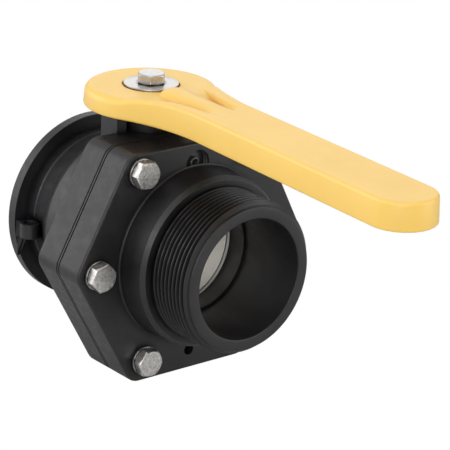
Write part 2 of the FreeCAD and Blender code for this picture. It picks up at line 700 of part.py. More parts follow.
def handle():
    body = new_body("handle")
    outline = sketch_on(body, "XY_Plane", "handle_outline", "handle_low")
    lever_outline(outline)
    blank = feature(body, "Pad", outline, "blank", "head_top - handle_low")
    underside = dress(
        body, "Fillet", blank,
        lambda e: e.BoundBox.ZLength < NEAR and abs(e.BoundBox.ZMin - size("handle_low")) < NEAR,
        "low_round", "lower_edges")
    dress(
        body, "Fillet", underside,
        lambda e: e.BoundBox.ZLength < NEAR and abs(e.BoundBox.ZMin - size("head_top")) < NEAR,
        "top_round", "head_edges")

    ridge = sketch_on(body, "XY_Plane", "ridge_outline", "head_top - top_round")
    polygon(ridge, [
        ("ridge_start", "-ridge_half"),
        ("ridge_waist", "-waist_half"),
        ("ridge_end", "-lever_half"),
        ("lever_reach", "-lever_half"),
        ("lever_reach", "lever_half"),
        ("ridge_end", "lever_half"),
        ("ridge_waist", "waist_half"),
        ("ridge_start", "ridge_half"),
    ])
    feature(body, "Pad", ridge, "ridge", "lever_top - head_top + top_round")
    cap = sketch_on(body, "XY_Plane", "cap_circle", "head_top - top_round")
    circle(cap, "lever_reach", "0", "lever_half")
    raised = feature(body, "Pad", cap, "cap", "lever_top - head_top + top_round")
    dress(
        body, "Fillet", raised,
        lambda e: e.BoundBox.ZLength < NEAR and abs(e.BoundBox.ZMin - size("lever_top")) < NEAR,
        "ramp_round", "ridge_edges")

    dish = sketch_on(body, "XY_Plane", "dish_circle", "lever_top + overcut")
    circle(dish, "0", "0", "big_washer + dish_play")
    feature(body, "Pocket", dish, "washer_dish", "lever_top + overcut - dish_low")
    through = sketch_on(body, "XY_Plane", "handle_hole_circle", "lever_top + overcut")
    circle(through, "0", "0", "screw_radius + hole_play")
    feature(body, "Pocket", through, "handle_hole", "lever_top + overcut - square_top")
    socket = sketch_on(body, "XY_Plane", "socket_outline", "square_top + square_play")
    half = "square_wide / 2 + square_play"
    polygon(socket, [
        ("-(%s)" % half, "-(%s)" % half),
        (half, "-(%s)" % half),
        (half, half),
        ("-(%s)" % half, half),
    ])
    feature(body, "Pocket", socket, "drive_socket", "square_top + square_play - handle_low + overcut")

    slot = sketch_on(body, "XZ_Plane", "stop_slot_outline")
    inner = "post_inner - slot_gap"
    outer = "sqrt(post_outer ^ 2 + (post_width / 2) ^ 2) + slot_gap"
    polygon(slot, [
        (inner, "handle_low - overcut"),
        (outer, "handle_low - overcut"),
        (outer, "post_top + slot_roof"),
        (inner, "post_top + slot_roof"),
    ])
    reach = "atan(post_width / 2 / post_inner) / 1 deg"
    slot.AttachmentOffset = about(0, 1, 0, 1)
    drive(slot, "AttachmentOffset.Rotation.Angle", "-90 - lever_angle + slot_play + " + reach)
    spun(body, "Groove", slot, "V_Axis", "stop_slot", "turn + 2 * slot_play + 2 * " + reach, True)
    turned(body)
    return body


def hex_bolt(label, length, upright, across="0", up="0", clocking=0.0):
    """Hexagon-headed bolt; the head's underside is its origin."""
    body = new_body(label)
    plane = "XY_Plane" if upright else "YZ_Plane"
    head = sketch_on(body, plane, "head_outline")
    hexagon(head, "hex_flats", clocking=clocking)
    feature(body, "Pad", head, "head", "head_high")
    shank = sketch_on(body, plane, "shank_circle")
    circle(shank, "0", "0", "screw_radius")
    feature(body, "Pad", shank, "shank", length, backwards=True)
    if upright:
        turned(body)
        drive(body, "Placement.Base.z", "dish_low + big_thick")
    else:
        drive(body, "Placement.Base.x", "plate_front + flat_thick")
        drive(body, "Placement.Base.y", across)
        drive(body, "Placement.Base.z", up)
    return body


def flat_washer(label, radius, thick, upright, across="0", up="0"):
    body = new_body(label)
    ring = sketch_on(body, "XY_Plane" if upright else "YZ_Plane", "ring_circles")
    circle(ring, "0", "0", radius)
    circle(ring, "0", "0", "screw_radius + hole_play")
    feature(body, "Pad", ring, "ring", thick)
    if upright:
        turned(body)
        drive(body, "Placement.Base.z", "dish_low")
    else:
        drive(body, "Placement.Base.x", "plate_front")
        drive(body, "Placement.Base.y", across)
        drive(body, "Placement.Base.z", up)
    return body


def hex_nut(label, across, up):
    body = new_body(label)
    outline = sketch_on(body, "YZ_Plane", "nut_outline")
    hexagon(outline, "hex_flats")
    circle(outline, "0", "0", "screw_radius + thread_play")
    feature(body, "Pad", outline, "nut", "nut_thick")
    drive(body, "Placement.Base.x", "plate_back + nut_sunk - nut_thick")
    drive(body, "Placement.Base.y", across)
    drive(body, "Placement.Base.z", up)
    return body


flange_body()
threaded_end()
torus("body_oring", "seal_ring", "seal_wire", "split_x + " + SEAL_ROOM, False)
seat_ring("seat_ring_rear", "-")
seat_ring("seat_ring_front", "+")
torus("seat_oring_rear", SEAT_MIDDLE, "oring_wire", "stem_x - seat_far - " + WIRE_ROOM, False)
torus("seat_oring_front", SEAT_MIDDLE, "oring_wire", "stem_x + seat_far + " + WIRE_ROOM, False)
ball()
stem()
thrust_washer()
torus("stem_oring_lower", STEM_RING, "stem_wire", "groove_low", True)
torus("stem_oring_upper", STEM_RING, "stem_wire", "groove_high", True)
handle()
flat_washer("handle_washer", "big_washer", "big_thick", True)
hex_bolt("handle_bolt", "short_length", True)
for place, (sideways, height, clocking) in enumerate(BOLTS, start=1):
    hex_bolt("body_bolt_%d" % place, "screw_length", False, sideways, height, clocking)
    flat_washer("body_washer_%d" % place, "flat_radius", "flat_thick", False, sideways, height)
    hex_nut("body_nut_%d" % place, sideways, height)
doc.recompute()

faults = []
for thing in doc.Objects:
    if "Invalid" in thing.State or "Error" in thing.State:
        faults.append(thing.Name)
for thing in made:
    if thing.Shape.isNull() or not thing.Shape.isValid() or not thing.Shape.Solids:
        faults.append(thing.Label)
if faults:
    raise SystemExit("not built: " + ", ".join(faults))

os.makedirs("parts", exist_ok=True)
for thing in made:
    thing.Shape.exportStep("parts/" + thing.Label + ".step")
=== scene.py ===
import json
import bpy
import bmesh
import numpy as np
from mathutils import Matrix, Vector


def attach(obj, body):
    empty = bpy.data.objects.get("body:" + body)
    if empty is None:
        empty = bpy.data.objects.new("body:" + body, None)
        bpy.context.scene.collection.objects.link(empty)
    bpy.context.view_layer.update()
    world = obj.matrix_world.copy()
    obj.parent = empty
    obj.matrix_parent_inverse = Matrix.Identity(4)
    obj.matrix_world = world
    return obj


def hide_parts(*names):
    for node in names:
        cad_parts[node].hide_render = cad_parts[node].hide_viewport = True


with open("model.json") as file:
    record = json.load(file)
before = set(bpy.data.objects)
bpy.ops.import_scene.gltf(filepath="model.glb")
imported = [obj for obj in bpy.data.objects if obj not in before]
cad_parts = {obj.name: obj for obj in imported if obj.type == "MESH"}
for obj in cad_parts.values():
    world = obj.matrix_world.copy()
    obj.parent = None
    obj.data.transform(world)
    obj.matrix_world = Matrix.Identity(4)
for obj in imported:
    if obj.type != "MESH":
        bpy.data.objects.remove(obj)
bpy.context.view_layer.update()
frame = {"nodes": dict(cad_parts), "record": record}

MM = 0.001
STATIC = "body"
TURNING = "turning"
nodes = frame["nodes"]

# Places in millimetres, as in the solids.
STEM_X = 39.66
LEVER_ANGLE = np.radians(-3.55)
HANDLE_LOW = 51.5
HEAD_RADIUS = 25.75
HEAD_TOP = 59.3
LEVER_TOP = 61.9
LEVER_HALF = 12.8
LEVER_REACH = 150.6
DRAFT = 0.035
FLANK_RADIUS = 75.0
WASHER_SEAT = 58.4
WASHER_TOP = 60.0
PLATE_FRONT = 69.0
PLATE_BACK = 42.75


# Mesh helpers

# Points of a new mesh closer than this, in metres, are one; a copied solid's loose triangles need twice that.
MERGE = 1e-6
COPY_MERGE = 2e-6


def mesh_object(name, points, quads, smooth_angle=30.0):
    """Object from points in millimetres and faces, smooth up to the given angle."""
    mesh = bpy.data.meshes.new(name)
    mesh.from_pydata((np.asarray(points, float) * MM).tolist(), [], np.asarray(quads).tolist())
    tidy(mesh)
    piece = bpy.data.objects.new(name, mesh)
    bpy.context.scene.collection.objects.link(piece)
    shade(piece, smooth_angle)
    return piece


def tidy(mesh):
    """Merge doubles, drop faces without area and turn the others outwards."""
    work = bmesh.new()
    work.from_mesh(mesh)
    bmesh.ops.remove_doubles(work, verts=work.verts, dist=MERGE)
    bmesh.ops.dissolve_degenerate(work, edges=work.edges, dist=MERGE)
    bmesh.ops.recalc_face_normals(work, faces=work.faces)
    work.to_mesh(mesh)
    work.free()
    mesh.update()


def shade(piece, smooth_angle):
    """Smooth faces, with a sharp edge where two of them meet at more than the angle in degrees."""
    mesh = piece.data
    mesh.polygons.foreach_set("use_smooth", np.ones(len(mesh.polygons), bool))
    mesh.set_sharp_from_angle(angle=np.radians(smooth_angle))
    mesh.update()


def grid_quads(rows, cols, wrap_rows=False):
    """Faces of a grid of points stored row by row; each row closes on itself."""
    r = np.arange(rows if wrap_rows else rows - 1)
    r, c = np.meshgrid(r, np.arange(cols), indexing="ij")
    r2, c2 = (r + 1) % rows, (c + 1) % cols
    quads = np.stack([r * cols + c, r * cols + c2, r2 * cols + c2, r2 * cols + c], -1)
    return quads.reshape(-1, 4)


def lathe(profile, sides=96, closed=True):
    """Surface (h, r cos a, r sin a) for a profile of (h, r) and a turning through a full circle."""
    profile = np.asarray(profile, float)
    a = np.linspace(0, 2 * np.pi, sides, endpoint=False)
    h, r = profile[:, :1], profile[:, 1:2]
    points = np.stack([h + 0 * a, r * np.cos(a), r * np.sin(a)], -1).reshape(-1, 3)
    return points, grid_quads(len(profile), sides, wrap_rows=closed)


def together(*parts):
    """Several (points, faces) as one."""
    points, quads, count = [], [], 0
    for p, q in parts:
        points.append(p)
        quads.append(q + count)
        count += len(p)
    return np.concatenate(points), np.concatenate(quads)


def along(points, axis, place, turn=0.0):
    """Points given as (h, a, b), with h along the axis, moved to a place and turned about the axis."""
    h, a, b = points.T
    a, b = a * np.cos(turn) - b * np.sin(turn), a * np.sin(turn) + b * np.cos(turn)
    out = np.stack([h, a, b] if axis == "x" else [a, b, h], -1)
    return out + np.asarray(place, float)


def on_lever(points):
    """Points in the lever's own frame, turned with the lever and moved to the stem axis."""
    x, y, z = points.T
    c, s = np.cos(LEVER_ANGLE), np.sin(LEVER_ANGLE)
    return np.stack([STEM_X + x * c - y * s, x * s + y * c, z], -1)


def step(low, high, value):
    """Smooth 0 to 1 between low and high: 3t^2 - 2t^3."""
    t = np.clip((value - low) / (high - low), 0, 1)
    return t * t * (3 - 2 * t)


def rounded(h0, r0, h1, r1, edge, count=5):
    """Closed profile of a ring between heights h0, h1 and radii r0, r1 with rounded edges."""
    a = np.linspace(0, np.pi / 2, count)
    corners = [(h0, r0, -1, -1, np.pi), (h1, r0, 1, -1, -np.pi / 2),
               (h1, r1, 1, 1, 0), (h0, r1, -1, 1, np.pi / 2)]
    out = []
    for h, r, dh, dr, first in corners:
        ch, cr = h - dh * edge, r - dr * edge
        out.append(np.stack([ch + edge * np.cos(first + a), cr + edge * np.sin(first + a)], -1))
    return np.concatenate(out)


# Shader groups and materials

def group(name, inputs, outputs):
    """Empty shader group with its named sockets."""
    tree = bpy.data.node_groups.new(name, "ShaderNodeTree")
    for label, kind, value in inputs:
        socket = tree.interface.new_socket(label, in_out="INPUT", socket_type=kind)
        if value is not None:
            socket.default_value = value
    for label, kind in outputs:
        tree.interface.new_socket(label, in_out="OUTPUT", socket_type=kind)
    return tree, tree.nodes.new("NodeGroupInput"), tree.nodes.new("NodeGroupOutput")


def node(tree, kind, inputs=None, **settings):
    """New node with its settings and the values of its open sockets."""
    item = tree.nodes.new(kind)
    for key, value in settings.items():
        setattr(item, key, value)
    for key, value in (inputs or {}).items():
        item.inputs[key].default_value = value
    return item


def grain_group():
    """Moulded grain: a fine noise for the height, a broad one that shifts tone and roughness."""
    tree, entry, leave = group(
        "moulded_grain",
        [("Fine", "NodeSocketFloat", 2600.0), ("Broad", "NodeSocketFloat", 60.0)],
        [("Height", "NodeSocketFloat"), ("Tone", "NodeSocketFloat"), ("Rub", "NodeSocketFloat")])
    spot = node(tree, "ShaderNodeTexCoord")
    fine = node(tree, "ShaderNodeTexNoise", {"Detail": 3.0, "Roughness": 0.6})
    broad = node(tree, "ShaderNodeTexNoise", {"Detail": 4.0, "Roughness": 0.55})
    streak = node(tree, "ShaderNodeTexNoise", {"Detail": 5.0, "Roughness": 0.7, "Distortion": 0.6})
    times = node(tree, "ShaderNodeMath", {1: 6.0}, operation="MULTIPLY")
    clear = node(tree, "ShaderNodeMapRange", {"From Min": 0.45, "From Max": 0.80})
    link = tree.links.new
    for noise in (fine, broad, streak):
        link(spot.outputs["Object"], noise.inputs["Vector"])
    link(entry.outputs["Fine"], fine.inputs["Scale"])
    link(entry.outputs["Broad"], broad.inputs["Scale"])
    link(entry.outputs["Broad"], times.inputs[0])
    link(times.outputs[0], streak.inputs["Scale"])
    link(streak.outputs["Fac"], clear.inputs["Value"])
    link(fine.outputs["Fac"], leave.inputs["Height"])
    link(broad.outputs["Fac"], leave.inputs["Tone"])
    link(clear.outputs["Result"], leave.inputs["Rub"])
    return tree


def brushed_group():
    """Cold-formed steel: noise stretched one way for fine lines and a soft blotch."""
    tree, entry, leave = group(
        "drawn_steel",
        [("Lines", "NodeSocketFloat", 1500.0), ("Blotch", "NodeSocketFloat", 900.0)],
        [("Height", "NodeSocketFloat"), ("Tone", "NodeSocketFloat")])
    spot = node(tree, "ShaderNodeTexCoord")
    stretch = node(tree, "ShaderNodeMapping")
    stretch.inputs["Scale"].default_value = (0.35, 1.0, 1.6)
    lines = node(tree, "ShaderNodeTexNoise", {"Detail": 6.0, "Roughness": 0.7})
    blotch = node(tree, "ShaderNodeTexNoise", {"Detail": 3.0, "Roughness": 0.6})
    link = tree.links.new
    link(spot.outputs["Object"], stretch.inputs["Vector"])
    link(stretch.outputs["Vector"], lines.inputs["Vector"])
    link(spot.outputs["Object"], blotch.inputs["Vector"])
    link(entry.outputs["Lines"], lines.inputs["Scale"])
    link(entry.outputs["Blotch"], blotch.inputs["Scale"])
    link(lines.outputs["Fac"], leave.inputs["Height"])
    link(blotch.outputs["Fac"], leave.inputs["Tone"])
    return tree


GRAIN = grain_group()
STEEL = brushed_group()


def material(name):
    """New material with its node tree and its main shader."""
    made = bpy.data.materials.new(name)
    made.use_nodes = True
    tree = made.node_tree
    return made, tree, tree.nodes["Principled BSDF"]


def ramp(tree, source, low, high, first, second):
    """Colour that goes from first to second as the source goes from low to high."""
    item = node(tree, "ShaderNodeMapRange", {"From Min": low, "From Max": high})
    mix = node(tree, "ShaderNodeMix", data_type="RGBA")
    mix.inputs["A"].default_value = (*first, 1)
    mix.inputs["B"].default_value = (*second, 1)
    tree.links.new(source, item.inputs["Value"])
    tree.links.new(item.outputs["Result"], mix.inputs["Factor"])
    return mix.outputs["Result"]


def span(tree, source, low, high):
    """Number that goes from low to high as the source goes from 0 to 1."""
    item = node(tree, "ShaderNodeMapRange", {"To Min": low, "To Max": high})
    tree.links.new(source, item.inputs["Value"])
    return item.outputs["Result"]


def bumped(tree, shader, height, distance, strength, edge):
    """Bump over a normal that is rounded along the corners by the given radius."""
    bump = node(tree, "ShaderNodeBump", {"Distance": distance * MM, "Strength": strength})
    corner = node(tree, "ShaderNodeBevel", {"Radius": edge * MM}, samples=6)
    tree.links.new(corner.outputs["Normal"], bump.inputs["Normal"])
    tree.links.new(height, bump.inputs["Height"])
    tree.links.new(bump.outputs["Normal"], shader.inputs["Normal"])


def openness(tree, reach, low, high):
    """0 to 1 as the part of the half sphere that is free within reach goes from low to high."""
    free = node(tree, "ShaderNodeAmbientOcclusion", {"Distance": reach * MM}, samples=6)
    item = node(tree, "ShaderNodeMapRange", {"From Min": low, "From Max": high})
    tree.links.new(free.outputs["AO"], item.inputs["Value"])
    return item.outputs["Result"]


def painted_shade(tree, colour, opening, shade):
    """Painted shade: colour multiplied by the shade colour where the opening is 0 and kept where it is 1, so
    creases and hollows come out darker.
    """
    tint = node(tree, "ShaderNodeMix", data_type="RGBA")
    tint.inputs["A"].default_value = (*shade, 1)
    tint.inputs["B"].default_value = (1, 1, 1, 1)
    both = node(tree, "ShaderNodeMix", data_type="RGBA", blend_type="MULTIPLY")
    both.inputs["Factor"].default_value = 1.0
    tree.links.new(opening, tint.inputs["Factor"])
    tree.links.new(colour, both.inputs["A"])
    tree.links.new(tint.outputs["Result"], both.inputs["B"])
    return both.outputs["Result"]


def plastic(name, dark, light, rough, fine=2600.0, broad=60.0, depth=0.02, strength=0.5, specular=0.5,
            edge=0.3, painted_hollow_shade=None, coat=0.0):
    """Moulded plastic: grain for the height, broad noise between two tones, rubbed patches smoother.

    The painted shade in hollows holds the reach in mm, the free part from and to, the shade colour and the
    part of the gloss that is left; it darkens the colour and dims the gloss where the surface is hemmed in.
    """
    made, tree, shader = material(name)
    grain = tree.nodes.new("ShaderNodeGroup")
    grain.node_tree = GRAIN
    grain.inputs["Fine"].default_value = fine
    grain.inputs["Broad"].default_value = broad
    colour = ramp(tree, grain.outputs["Tone"], 0.3, 0.7, dark, light)
    shader.inputs["Specular IOR Level"].default_value = specular
    # Painted shade: colour darkened and gloss dimmed in creases and hollows.
    if painted_hollow_shade:
        reach, low, high, shade, gloss = painted_hollow_shade
        opening = openness(tree, reach, low, high)
        colour = painted_shade(tree, colour, opening, shade)
        if gloss < 1:
            shine = span(tree, opening, specular * gloss, specular)
            tree.links.new(shine, shader.inputs["Specular IOR Level"])
    if coat:
        shader.inputs["Coat Weight"].default_value = coat
        shader.inputs["Coat Roughness"].default_value = 0.4
    tree.links.new(colour, shader.inputs["Base Color"])
    tree.links.new(span(tree, grain.outputs["Rub"], rough[0], rough[1]), shader.inputs["Roughness"])
    bumped(tree, shader, grain.outputs["Height"], depth, strength, edge)
    return made


def steel(name, dark, light, rough, depth=0.02, strength=0.45, reach=3.0, shade=(0.12, 0.115, 0.11)):
    """Bright stainless steel with fine lines and soft blotches, with painted shade that darkens it at the
    foot of a head and in other hollows.
    """
    made, tree, shader = material(name)
    look = tree.nodes.new("ShaderNodeGroup")
    look.node_tree = STEEL
    colour = ramp(tree, look.outputs["Tone"], 0.30, 0.72, dark, light)
    # Painted shade at the foot of a head and in other hollows.
    colour = painted_shade(tree, colour, openness(tree, reach, 0.45, 0.97), shade)
    tree.links.new(colour, shader.inputs["Base Color"])
    tree.links.new(span(tree, look.outputs["Tone"], rough[0], rough[1]), shader.inputs["Roughness"])
    bumped(tree, shader, look.outputs["Height"], depth, strength, 0.12)
    shader.inputs["Metallic"].default_value = 0.9
    return made


# BLACK, CREST and YELLOW get painted shade in creases and hollows, with their gloss dimmed there too.
BLACK = plastic("black_moulding", (0.0042, 0.0038, 0.0046), (0.0135, 0.0125, 0.0145), (0.47, 0.27),
                fine=1900.0, depth=0.045, strength=0.75, edge=0.25,
                painted_hollow_shade=(3.0, 0.35, 0.95, (0.4, 0.4, 0.4), 0.25))
CREST = plastic("thread_moulding", (0.0052, 0.0048, 0.0058), (0.0115, 0.0105, 0.0125), (0.38, 0.28),
                strength=0.3, edge=0.06, painted_hollow_shade=(2.0, 0.35, 0.95, (0.4, 0.4, 0.4), 0.15))
# Painted light: the black moulding made several times lighter for the gauge port, so its shaded walls and
# ribs read as lit.
PORT_PAINTED_LIGHT = plastic("port_painted_light", (0.022, 0.022, 0.022), (0.038, 0.038, 0.038), (0.40, 0.30),
               strength=0.3, edge=0.08, specular=0.7)
# Painted shade: near-black, dull finish for the bands set in the groove between the plates.
SLOT = plastic("slot_shade", (0.002, 0.002, 0.002), (0.004, 0.004, 0.004), (0.9, 0.8),
               strength=0.1, specular=0.05, edge=0.05)
YELLOW = plastic("yellow_moulding", (0.82, 0.515, 0.085), (0.86, 0.55, 0.102), (0.48, 0.40),
                 fine=1800.0, broad=35.0, depth=0.015, strength=0.3, specular=0.9, coat=0.2,
                 painted_hollow_shade=(9.0, 0.45, 0.97, (0.86, 0.69, 0.22), 0.5))
BALL = plastic("ball_plastic", (0.96, 0.935, 0.865), (0.99, 0.965, 0.90), (0.34, 0.28),
               broad=90.0, depth=0.01, strength=0.2)
SEAT = plastic("seat_white", (0.82, 0.82, 0.80), (0.88, 0.88, 0.86), (0.45, 0.38),
               broad=120.0, depth=0.01, strength=0.2)
RUBBER = plastic("seal_rubber", (0.012, 0.012, 0.012), (0.02, 0.02, 0.02), (0.62, 0.5),
                 depth=0.01, strength=0.3)
SHAFT = plastic("stem_black", (0.016, 0.016, 0.018), (0.026, 0.026, 0.028), (0.42, 0.35),
                depth=0.01, strength=0.3)
# Both steels get painted shade at the foot of a head and in other hollows.
STAINLESS = steel("stainless", (0.42, 0.405, 0.39), (0.80, 0.78, 0.76), (0.22, 0.38))
PALE_STEEL = steel("stainless_pale", (0.50, 0.488, 0.475), (0.64, 0.625, 0.61), (0.24, 0.34),
                   depth=0.012, strength=0.3, reach=1.3, shade=(0.30, 0.28, 0.24))

FINISH = {"black_plastic": BLACK, "yellow_plastic": YELLOW, "ball_plastic": BALL, "seat_plastic": SEAT,
          "seal_rubber": RUBBER, "stem_plastic": SHAFT, "stainless": STAINLESS}
for entry in frame["record"]["subparts"]:
    nodes[entry["node"]].data.materials.clear()
    nodes[entry["node"]].data.materials.append(FINISH[entry["material_slot"]])


def dress(piece, slot, body, *stands_for, finish=None):
    """Give a finished piece its material, taken from its slot unless a finish is given, put it in its body,
    and hide the nodes that it stands for.
    """
    piece.data.materials.clear()
    piece.data.materials.append(finish or FINISH[slot])
    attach(piece, body)
    if stands_for:
        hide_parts(*stands_for)
    return piece


# Threaded end and flange half, places in millimetres

THREAD_PITCH = 2.209
THREAD_CREST = 30.0
THREAD_ROOT = 28.35
THREAD_FIRST = 82.3
THREAD_LAST = 101.2
NOSE_START = 102.3
NOSE_RADIUS = 28.18
CORE = 27.9
BORE = 23.6
BORE_START = 72.2
RIM = 103.38
SPLIT = 55.83
CORNER_ROUND = 6.4
LIP_HALF = 0.36
LIP_INSET = 0.06
SLOT_EDGE = 0.92
SLOT_INSET = 0.22
PLATE_CORNERS = [(54.21, 0), (27.42, -47.94), (-27.42, -47.94), (-54.21, 0), (-31.06, 43.93), (31.06, 43.93)]
COLLAR_RADIUS = 35.2
COLLAR_FOOT = 0.8
GAUGE_PLACE = (0.0, 0.8, 35.4)
GAUGE_RADIUS = 5.42
GAUGE_PITCH = 1.35
EYELET_X = 8.08
EYELET_Y = -35.6
EYELET_LOW = -6.6
EYELET_SHIFT = (0.9, 1.8, 0.0)
FLANGE_FACE = 4.49


def copied(name, source, smooth_angle=28.0):
    """New piece in the shape of a node: its loose triangles merged, sharp only past the given angle."""
    work = bmesh.new()
    work.from_mesh(nodes[source].data)
    bmesh.ops.remove_doubles(work, verts=work.verts, dist=COPY_MERGE)
    work.verts.ensure_lookup_table()
    points = np.array([v.co for v in work.verts])
    faces = [[v.index for v in f.verts] for f in work.faces]
    work.free()
    mesh = bpy.data.meshes.new(name)
    mesh.from_pydata(points.tolist(), [], faces)
    mesh.update()
    piece = bpy.data.objects.new(name, mesh)
    bpy.context.scene.collection.objects.link(piece)
    shade(piece, smooth_angle)
    even = piece.modifiers.new("even_shading", "WEIGHTED_NORMAL")
    even.keep_sharp = True
    return piece, points / MM


def reshaped(piece, points):
    """The piece with its points moved to new places in millimetres."""
    piece.data.vertices.foreach_set("co", (points * MM).ravel())
    piece.data.update()
    return piece


def opened_joint(points):
    """Groove between the plates made wider and deeper: its edges move apart, its bottom inwards."""
    x, far = points[:, 0], np.hypot(points[:, 1], points[:, 2])
    near = (abs(x - SPLIT) < 0.6) & (far > 43)
    inner = near & (abs(x - SPLIT) < 0.05)
    outer = near & (abs(x - SPLIT) > 0.3)
    points[inner, 1:] *= (1 - 1.2 / far[inner])[:, None]
    points[outer, 0] += 0.5 * np.sign(x[outer] - SPLIT)
    return points


def threaded_core():
    """The front half, its thread taken down to a plain core and its rim set back under a skin."""
    piece, points = copied("threaded_end_shell", "threaded_end")
    x, radius = points[:, 0], np.hypot(points[:, 1], points[:, 2])
    wanted = radius.copy()
    wanted[(radius > CORE) & (radius < THREAD_CREST + 0.02) & (x > THREAD_FIRST - 0.1)] = CORE
    wanted[(x > NOSE_START - 0.1) & (radius > 27)] = NOSE_RADIUS - 0.6
    wanted[(x > RIM - 0.5) & (radius < 25)] = BORE + 0.4
    points[:, 1:] *= (wanted / np.maximum(radius, 1e-6))[:, None]
    points[x > RIM - 0.5, 0] = RIM - 0.3
    return reshaped(piece, opened_joint(points))


def flange_half():
    """The rear half, its eyelet set a little nearer the neck, shorter from below and without the web."""
    piece, points = copied("flange_half", "flange_body", 33.0)
    x, y, z = points.T
    web = (np.abs(y - EYELET_Y) < 1.6) & (x > 4.4) & (x < 13) & (z < EYELET_LOW - 0.1) & (z > -16)
    points[web, 0] = FLANGE_FACE
    boss = (np.hypot(x - EYELET_X, y - EYELET_Y) < 4.5) & (x > 4.5) & (z < 0.5) & (z > EYELET_LOW - 0.2)
    points[boss & (z < EYELET_LOW + 0.3), 2] += 1.1
    points[boss] += EYELET_SHIFT
    return reshaped(piece, opened_joint(points))


def eyelet_foot():
    """Small flat pad that closes the flange face under the eyelet: a box."""
    box = np.array([(x, y, z) for x in (4.0, 4.54) for y in (-36.5, -34.0) for z in (-14.3, -8.0)])
    quads = [(0, 1, 3, 2), (4, 6, 7, 5), (0, 4, 5, 1), (2, 3, 7, 6), (0, 2, 6, 4), (1, 5, 7, 3)]
    return mesh_object("eyelet_foot", box, np.array(quads), 30)


def spigot_skin():
    """Bore, rounded rim and plain nose: a profile (x, r) turned about the flow axis."""
    a = np.linspace(0, np.pi / 2, 6)
    inner = np.stack([RIM - 0.5 + 0.5 * np.sin(a), BORE + 0.5 - 0.5 * np.cos(a)], -1)
    outer = np.stack([RIM - 0.5 + 0.5 * np.cos(a), NOSE_RADIUS - 0.5 + 0.5 * np.sin(a)], -1)
    profile = np.concatenate([[(BORE_START, BORE)], inner, outer,
                              [(NOSE_START, NOSE_RADIUS), (NOSE_START, 27.0), (BORE_START, 27.0)]])
    points, quads = lathe(profile, 180)
    return mesh_object("spigot_skin", points, quads, 35)


def plate_ring(inset):
    """The plates' six-cornered outline, its corners rounded, set in by a distance."""
    corners = np.array(PLATE_CORNERS)
    before, after = np.roll(corners, 1, 0), np.roll(corners, -1, 0)
    ring = []
    for here, one, other in zip(corners, before, after):
        u = (one - here) / np.linalg.norm(one - here)
        v = (other - here) / np.linalg.norm(other - here)
        half = np.arccos(u @ v) / 2
        mid = (u + v) / np.linalg.norm(u + v)
        middle = here + mid * CORNER_ROUND / np.sin(half)
        first = here + u * CORNER_ROUND / np.tan(half) - middle
        last = here + v * CORNER_ROUND / np.tan(half) - middle
        start = np.arctan2(first[1], first[0])
        sweep = (np.arctan2(last[1], last[0]) - start + np.pi) % (2 * np.pi) - np.pi
        turn = start + sweep * np.linspace(0, 1, 12)
        ring.append(middle + (CORNER_ROUND - inset) * np.stack([np.cos(turn), np.sin(turn)], -1))
    return np.concatenate(ring)


def joint_band(name, low, high, inset):
    """Belt round the plates between two planes: their rounded outline, set in."""
    ring = plate_ring(inset)
    rows = [np.concatenate([np.full((len(ring), 1), x), ring * scale], -1)
            for x, scale in ((low, 0.95), (low, 1.0), (high, 1.0), (high, 0.95))]
    return mesh_object(name, np.stack(rows).reshape(-1, 3), grid_quads(4, len(ring), wrap_rows=True), 35)


def pipe_thread():
    """Thread: root plus rise times a wave of x / pitch less a / full turn, cut by the cone at the nose."""
    x = np.linspace(THREAD_FIRST - 0.2, NOSE_START, 220)[:, None]
    a = np.linspace(0, 2 * np.pi, 180, endpoint=False)[None, :]
    phase = (x - THREAD_FIRST) / THREAD_PITCH - a / (2 * np.pi) + 0.25
    tooth = abs((phase % 1.0) - 0.5) * 2
    wave = np.clip((1 - tooth) * 1.35 - 0.12, 0, 1)
    r = THREAD_ROOT + (THREAD_CREST - THREAD_ROOT) * wave
    cone = NOSE_RADIUS + (NOSE_START - x) * (THREAD_CREST - NOSE_RADIUS) / (NOSE_START - THREAD_LAST)
    r = np.minimum(r, np.clip(cone, NOSE_RADIUS, None))
    outer = np.stack([x + 0 * a, r * np.cos(a), r * np.sin(a)], -1)
    inner = outer[[-1, 0]].copy()
    inner[..., 1] = (NOSE_RADIUS - 1.5) * np.cos(a)
    inner[..., 2] = (NOSE_RADIUS - 1.5) * np.sin(a)
    points = np.concatenate([outer, inner]).reshape(-1, 3)
    return mesh_object("pipe_thread", points, grid_quads(222, 180, wrap_rows=True), 40)


def gauge_thread():
    """Inside thread of the gauge port: its radius less a rise times a wave of x / pitch."""
    x = np.linspace(61.3, 68.6, 90)[:, None]
    a = np.linspace(0, 2 * np.pi, 64, endpoint=False)[None, :]
    wave = 0.5 + 0.5 * np.cos(2 * np.pi * (x / GAUGE_PITCH - a / (2 * np.pi)))
    r = GAUGE_RADIUS - 0.55 * wave * step(61.2, 62.0, x) * (1 - step(68.0, 68.6, x))
    inner = np.stack([x + 0 * a, r * np.cos(a), r * np.sin(a)], -1)
    back = inner[[-1, 0]].copy()
    back[..., 1] = 5.9 * np.cos(a)
    back[..., 2] = 5.9 * np.sin(a)
    points = np.concatenate([inner, back]).reshape(-1, 3) + GAUGE_PLACE
    return mesh_object("gauge_thread", points, grid_quads(92, 64, wrap_rows=True), 40)


def gauge_boss():
    """Short tube on the gauge port's floor, rounded at its mouth, with the floor around it."""
    tube = lathe(rounded(60.9, 1.2, 67.4, 2.1, 0.3), 48)
    ground = lathe(rounded(60.9, 1.5, 65.6, 5.3, 0.3), 48)
    points, quads = together(tube, ground)
    return mesh_object("gauge_boss", points + GAUGE_PLACE, quads, 35)


